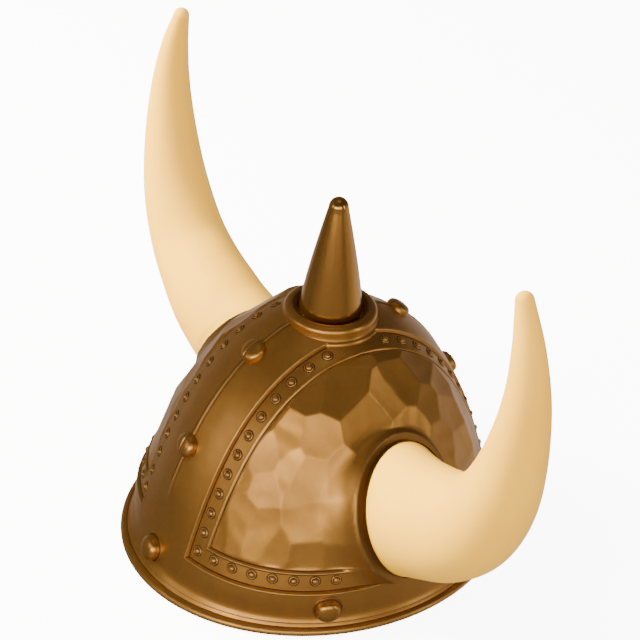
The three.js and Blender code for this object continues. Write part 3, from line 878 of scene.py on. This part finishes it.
class HELMET_OT_studs(bpy.types.Operator):
    """Build the ten large studs, each a turned dome with a steep wall and a thin ring round its foot.

    Those on the ridge have a fine groove along x = 0: 0.55 mm times exp(-(x / 0.62 mm)^2).
    """

    bl_idname = "helmet.studs"
    bl_label = "Studs"

    def execute(self, context):
        size = context.scene.helmet_sizes
        profile = [(0, -1.6), (8.4, -1.6), (8.4, -0.6), (8.25, -0.1), (7.9, 0.15), (7.45, 0.25), (7.12, 0.5)]
        profile += [(6.98, 1.1), (6.9, 2.0), (6.75, 2.9), (6.3, 3.9), (5.4, 4.75), (4.1, 5.35), (2.4, 5.7)]
        profile += [(1.1, 5.79), (0, 5.8)]
        profile = rounded(profile, 3)
        # Painted shadow round the stud's foot, outside its steep wall.
        painted_shade = 0.75 * smooth((profile[:, :1] - 6.95) / 0.25)
        profile = profile * np.array([size.stud / 6.9, size.stud_rise / 5.8])
        for node, place in stud_places(size):
            direction = bowl_outward(size, place)
            points = turned(profile, 168, place, direction)
            if "ridge" in node:
                line = smooth(profile[:, 1:] / (4 * MM)) * hump(points[..., 0], 0, KEEL_LINE)
                points -= 0.55 * MM * line[..., None] * direction
            piece = surface(node.replace("stud", "dome"), points, around=True, poles=(True, True), painted_shade=painted_shade)
            gild(context, piece, "fittings", node)
        return {"FINISHED"}


class HELMET_OT_spike(bpy.types.Operator):
    """Build the crown's beaded ring and the spike, both turned round the upright axis.

    The spike's side is a quadratic bow from 17.2 mm at 148 mm to 5.4 mm below its round tip.
    """

    bl_idname = "helmet.spike"
    bl_label = "Spike"

    def execute(self, context):
        low = [(27.9, 137.2), (27.7, 138.8), (27.2, 139.7), (26.5, 140.4), (26.05, 141.2), (25.85, 142.4)]
        turn = np.radians(np.linspace(-4, 100, 16))
        bead = [(22.4 + 3.4 * math.cos(a), 144.3 + 3.5 * math.sin(a)) for a in turn]
        well = [(21.0, 147.55), (20.2, 147.15), (19.3, 146.6), (18.5, 146.0), (18.1, 145.4), (17.95, 144.6)]
        well += [(17.85, 143.6), (17.4, 143.1), (16.8, 143.0), (16.8, 137.2)]
        profile = np.array(rounded(low, 3).tolist() + bead + well) * MM
        ring = turned(profile, 128, np.zeros(3), (0, 0, 1))
        # Painted shade in the well between the ring's bead and the spike.
        painted_shade = 0.9 * smooth((21.6 * MM - profile[:, :1]) / (1.2 * MM))
        piece = surface("crown_ring", ring, around=True, loop=True, painted_shade=painted_shade)
        gild(context, piece, "fittings", "spike_collar")
        share = np.linspace(0, 1, 40)[:, None]
        tip_radius, tip_height = 5.4, 208.6
        start, bow, end = np.array([(17.2, 148.0), (14.9, 167.0), (tip_radius, tip_height)])
        side = (1 - share) ** 2 * start + 2 * share * (1 - share) * bow + share**2 * end
        turn = np.radians(np.linspace(8, 90, 14))
        tip = [(tip_radius * math.cos(a), tip_height + tip_radius * math.sin(a)) for a in turn]
        foot = [(0, 142.9), (15.8, 142.9), (16.5, 143.3), (16.95, 144.3), (17.15, 146.0)]
        profile = np.array(foot + side.tolist() + tip) * MM
        spike = turned(profile, 112, np.zeros(3), (0, 0, 1))
        gild(context, surface("crown_spike", spike, around=True, poles=(True, True)), "spike", "spike")
        return {"FINISHED"}


def foot_ring(side, margin, lift, angle):
    """Points on the horn foot's oval, widened by a margin and lifted off its plane."""
    centre, out, across, up = foot_frame(side)
    margin, lift = np.asarray(margin)[..., None], np.asarray(lift)[..., None]
    u = (FOOT_HALF_WIDTH + margin) * np.cos(angle)
    v = (FOOT_HALF_HEIGHT + margin) * np.sin(angle)
    return centre + u[..., None] * across + v[..., None] * up + (lift + 0 * u)[..., None] * out


class HELMET_OT_collars(bpy.types.Operator):
    """Build the two horn collars: a section with a bead and a lip, swept round the oval.

    There is an open fault here: the section's width is divided by 3.6 and not by 3.6 mm, so a collar has a
    thousandth of its width and its bead doesn't show.
    """

    bl_idname = "helmet.collars"
    bl_label = "Horn collars"

    def execute(self, context):
        section = [(4.9, -1.75), (4.3, -1.35), (3.95, -0.8), (3.75, -0.1), (3.62, 0.6), (3.4, 1.2)]
        section += [(3.0, 1.58), (2.6, 1.6), (2.25, 1.35), (1.95, 0.98), (1.5, 0.82), (0.9, 0.78)]
        section = rounded(section + [(0.45, 0.66), (0.25, 0.35)], 3)
        section = np.vstack([section, [(0.25, -1.9), (4.9, -1.9)]]) * MM
        section[:, 0] *= context.scene.helmet_sizes.collar / 3.6
        margin = section[:, :1]
        # Painted shade on the inner lip beside the horn, and a painted highlight along the bead's crest.
        lip = 0.8 * smooth((2.1 * MM - margin) / (0.7 * MM))
        crest = 0.9 * hump(margin, 3.1 * MM, 0.6 * MM)
        for hand, side in HANDS:
            points = foot_ring(side, section[:, 0], section[:, 1], circle(144))
            piece = surface(f"collar_{hand}", points, around=True, loop=True, rubbed_and_highlit=crest, painted_shade=lip)
            gild(context, piece, "fittings", f"horn_collar_{hand}")
        return {"FINISHED"}


# Sections up the right horn, in mm: the middle's x, y and z, the radius and the extra half height.
HORN_SECTIONS = (
    (107.2, -3, 78.2, 28.6, 4.4),
    (129.8, -5.1, 91.4, 24.9, 5.0),
    (150.9, -6, 109.3, 22.5, 2.7),
    (166.6, -6.6, 135.8, 19.8, 0.8),
    (175.1, -6.8, 169.3, 15.6, 0.0),
    (176.8, -6.8, 201.9, 11.3, 0.0),
    (172.7, -7, 227.6, 7.9, 0.0),
    (165.5, -7.2, 249.2, 4.6, 0.0),
)


def centripetal(points, shares):
    """A centripetal Catmull-Rom curve through points, at shares of its spans from 0 to 1."""
    points = np.vstack([2 * points[0] - points[1], points, 2 * points[-1] - points[-2]])
    spans = len(points) - 3
    place = np.clip(shares * spans, 0, spans - 1e-9)
    span = place.astype(int)
    t = (place - span)[:, None]
    a, b, c, d = (points[span + i] for i in range(4))
    ab, bc, cd = (np.sqrt(np.linalg.norm(q - p, axis=1, keepdims=True)) for p, q in ((a, b), (b, c), (c, d)))
    first = ((b - a) / ab - (c - a) / (ab + bc) + (c - b) / bc) * bc
    last = ((c - b) / bc - (d - b) / (bc + cd) + (d - c) / cd) * bc
    cubic = (2 * b - 2 * c + first + last) * t**3 + (-3 * b + 3 * c - 2 * first - last) * t**2
    return cubic + first * t + b


HORN_ROOT_RADIUS = 38 * MM


def carried(values, spans):
    """Values at the ends of equal spans, carried smoothly to places that are counted in spans."""
    steps = 20
    curve = rounded(values[:, None], steps)[:, 0]
    return np.interp(spans, np.arange(len(curve)) / steps, curve)


class HELMET_OT_horns(bpy.types.Operator):
    """Build the two horns: ovals that turn into circles, swept along a smooth curve to a blunt tip.

    The horns aren't seen in reflections, because they would leave orange patches on the gold.
    """

    bl_idname = "helmet.horns"
    bl_label = "Horns"

    def execute(self, context):
        for hand, side in HANDS:
            piece = surface(f"ivory_{hand}", self.rings(side), around=True, poles=(True, True))
            piece.visible_glossy = False
            ivory = ivory_material(context.scene.helmet_finish)
            finish_piece(piece, ivory, [f"horn_{hand}"])
        return {"FINISHED"}

    @staticmethod
    def rings(side):
        """Rings of the horn from its root inside the collar to its tip.

        Near the root a ring faces as the foot does and is as wide as the foot's oval. Higher up it faces
        along the curve and is round, apart from the extra half height of its section.
        """
        centre, out, across_foot, _ = foot_frame(side)
        sections = np.array(HORN_SECTIONS) * MM
        middles = np.vstack([centre, sections[:, :3] * np.array([side, 1, 1])])
        shares = np.linspace(0, 1, 150)
        spans = shares * len(HORN_SECTIONS)
        height = carried(np.append(HORN_ROOT_RADIUS, sections[:, 3]), spans)
        path = centripetal(middles, shares)
        ahead = centripetal(middles, np.minimum(shares + 1e-4, 1))
        behind = centripetal(middles, np.maximum(shares - 1e-4, 0))
        follow = smooth(spans)[:, None]
        heading = unit(unit(ahead - behind) * follow + out * (1 - follow))
        oval = 1 - smooth(spans / 1.6)
        width = height * (1 - oval * (1 - FOOT_HALF_WIDTH / FOOT_HALF_HEIGHT))
        height = height + carried(np.append(0.0, sections[:, 4]), spans)
        sideways = np.array([0.0, 1.0, 0.0]) * follow + across_foot * (1 - follow)
        across = unit(sideways - heading * (sideways * heading).sum(1, keepdims=True))
        up = np.cross(heading, across) * side
        turn = np.linspace(0, np.pi / 2, 14)[1:]
        blunt = sections[-1, 3]
        root = centre - out * 9 * MM
        path = np.vstack([root, root, path, path[-1] + heading[-1] * blunt * np.sin(turn)[:, None]])
        width = np.concatenate([[0, width[0]], width, blunt * np.cos(turn)])[:, None, None]
        height = np.concatenate([[0, height[0]], height, blunt * np.cos(turn)])[:, None, None]
        rows = np.concatenate([[0, 0], np.arange(len(shares)), np.full(len(turn), -1)])
        angle = circle(104)[None, :, None]
        ring = width * np.cos(angle) * across[rows][:, None] + height * np.sin(angle) * up[rows][:, None]
        return path[:, None] + ring


def area_light(context, name, place, width, height, power, tint):
    """A soft rectangular lamp at a place, aimed at the bowl's middle, 80 mm up."""
    lamp = bpy.data.lights.new(name, "AREA")
    lamp.shape = "RECTANGLE"
    lamp.size, lamp.size_y = width, height
    lamp.energy = power
    lamp.color = tint
    light = bpy.data.objects.new(name, lamp)
    light.location = place
    light.rotation_euler = (Vector((0, 0, 80 * MM)) - Vector(place)).to_track_quat("-Z", "Y").to_euler()
    context.scene.collection.objects.link(light)
    return light


class HELMET_OT_stage(bpy.types.Operator):
    """Build the pale floor, the soft studio lights and the camera at the photograph's angle.

    The floor is seen by the camera alone: it gives off its own light, so that it looks white.
    """

    bl_idname = "helmet.stage"
    bl_label = "Studio"

    def execute(self, context):
        finish = context.scene.helmet_finish
        mesh = bpy.data.meshes.new("studio_floor")
        reach, drop = 6.0, 0.2 * MM
        corners = [(x * reach, y * reach, -drop) for x, y in ((-1, -1), (1, -1), (1, 1), (-1, 1))]
        mesh.from_pydata(corners, [], [(0, 1, 2, 3)])
        floor = bpy.data.objects.new("studio_floor", mesh)
        context.scene.collection.objects.link(floor)
        material, tree, shader = blank_material("Studio floor")
        share = remap(tree, noise(tree, object_place(tree), 3, 2.0, 0.5), 0.3, 0.7)
        pale = tuple(finish.floor)
        base = mix_colour(tree, share, pale, tuple(0.985 * value for value in pale))
        tree.links.new(base, shader.inputs["Base Color"])
        preset(shader, {"Roughness": 0.9, "Emission Color": (1, 1, 1, 1), "Emission Strength": 8.5})
        floor.data.materials.append(material)
        floor.visible_glossy = floor.visible_diffuse = False
        self.surroundings(context)
        warm, mild, matt = (1.0, 0.97, 0.94), (1.0, 0.98, 0.96), (1.0, 0.98, 0.95)
        area_light(context, "key", (0.82, -1.34, 0.43), 1.25, 0.5, finish.key, warm)
        area_light(context, "front", (-0.36, -1.53, 0.46), 0.4, 0.6, finish.key * 0.13, warm)
        area_light(context, "fill", (1.65, -0.5, 0.56), 1.2, 0.8, finish.fill, mild)
        area_light(context, "strip", (1.3, 0.88, 0.45), 0.16, 0.8, finish.fill * 0.36, mild)
        soft = area_light(context, "soft", (-0.7, -0.8, 0.84), 0.6, 0.6, finish.soft, matt)
        side = area_light(context, "side", (1.5, -0.7, 1.5), 1.2, 1.2, finish.soft * 0.16, matt)
        soft.visible_glossy = side.visible_glossy = False
        self.camera(context)
        return {"FINISHED"}

    @staticmethod
    def surroundings(context):
        """The studio round the object: pale to the eye, a soft even light, and a dark room in reflections.

        Reflections see a pale table behind the object, a dimmer one at its right, a bright spot straight
        above it, and little else.
        """
        world = bpy.data.worlds.new("Studio")
        world.use_nodes = True
        tree = world.node_tree
        tree.nodes.clear()
        split = tree.nodes.new("ShaderNodeSeparateXYZ")
        tree.links.new(tree.nodes.new("ShaderNodeTexCoord").outputs["Generated"], split.inputs[0])
        x, y, z = split.outputs
        below = remap(tree, z, 0.12, -0.2)
        behind = remap(tree, weighted(tree, x, -0.45, y, 0.89), 0.0, 0.7)
        beside = remap(tree, weighted(tree, x, 0.85, y, -0.53), 0.1, 0.8)
        tables = [math_node(tree, "MULTIPLY", way, below) for way in (behind, beside)]
        room = weighted(tree, tables[0], 0.6, tables[1], 0.19)
        room = math_node(tree, "ADD", room, remap(tree, z, 0.1, 0.8, 0.11, 0.035))
        room = math_node(tree, "ADD", room, remap(tree, z, 0.9, 1.0, 0.0, 0.3))
        seen, even, mirrored = (tree.nodes.new("ShaderNodeBackground") for _ in range(3))
        preset(seen, {"Color": (1, 1, 1, 1), "Strength": 9.0})
        preset(even, {"Color": (1, 0.98, 0.94, 1), "Strength": 1.1})
        preset(mirrored, {"Color": (1, 0.97, 0.93, 1)})
        tree.links.new(room, mirrored.inputs["Strength"])
        rays = tree.nodes.new("ShaderNodeLightPath").outputs
        shown = even.outputs[0]
        for ray, background in (("Is Glossy Ray", mirrored), ("Is Camera Ray", seen)):
            mixed = tree.nodes.new("ShaderNodeMixShader")
            for socket, value in zip(mixed.inputs, (rays[ray], shown, background.outputs[0])):
                tree.links.new(value, socket)
            shown = mixed.outputs[0]
        output = tree.nodes.new("ShaderNodeOutputWorld")
        tree.links.new(shown, output.inputs["Surface"])
        context.scene.world = world

    @staticmethod
    def camera(context):
        """A 105 mm lens, 56.3 degrees round from the front and 33.4 degrees up, rolled by 4.5 degrees."""
        azimuth, elevation, roll = math.radians(56.29), math.radians(33.43), math.radians(4.479)
        flat = Vector((math.sin(azimuth), -math.cos(azimuth), 0))
        back = flat * math.cos(elevation) + Vector((0, 0, math.sin(elevation)))
        right = Vector((math.cos(azimuth), math.sin(azimuth), 0))
        up = back.cross(right)
        place = Vector((0, 0, 0.056)) + right * -0.005195 + up * 0.067322 + back * 1.0625
        level = right * math.cos(roll) + up * math.sin(roll)
        upright = up * math.cos(roll) - right * math.sin(roll)
        lens = bpy.data.cameras.new("camera")
        lens.lens = 104.99
        lens.sensor_width = 36
        lens.clip_start = 0.01
        camera = bpy.data.objects.new("camera", lens)
        turn = Matrix((level, upright, back)).transposed().to_4x4()
        turn.translation = place
        camera.matrix_world = turn
        context.scene.collection.objects.link(camera)
        context.scene.camera = camera


class HELMET_PT_panel(bpy.types.Panel):
    """Sizes, colours and steps of the helmet."""

    bl_idname = "HELMET_PT_panel"
    bl_label = "Helmet"
    bl_space_type = "VIEW_3D"
    bl_region_type = "UI"
    bl_category = "Helmet"

    def draw(self, context):
        for group in (context.scene.helmet_sizes, context.scene.helmet_finish):
            box = self.layout.box()
            for name in group.__annotations__:
                box.prop(group, name)
        for step in STEPS:
            self.layout.operator(step.bl_idname)


STEPS = (
    HELMET_OT_stage,
    HELMET_OT_shell,
    HELMET_OT_brow,
    HELMET_OT_rivets,
    HELMET_OT_studs,
    HELMET_OT_spike,
    HELMET_OT_collars,
    HELMET_OT_horns,
)
CLASSES = (HelmetSizes, HelmetFinish, *STEPS, HELMET_PT_panel)


def register():
    """Add the sizes, finishes, steps and panel."""
    for kind in CLASSES:
        bpy.utils.register_class(kind)
    bpy.types.Scene.helmet_sizes = PointerProperty(type=HelmetSizes)
    bpy.types.Scene.helmet_finish = PointerProperty(type=HelmetFinish)


def unregister():
    """Remove what register added."""
    del bpy.types.Scene.helmet_finish
    del bpy.types.Scene.helmet_sizes
    for kind in reversed(CLASSES):
        bpy.utils.unregister_class(kind)


def main():
    """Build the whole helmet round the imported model."""
    register()
    for step in STEPS:
        group, name = step.bl_idname.split(".")
        getattr(getattr(bpy.ops, group), name)()


if __name__ == "__main__":
    main()
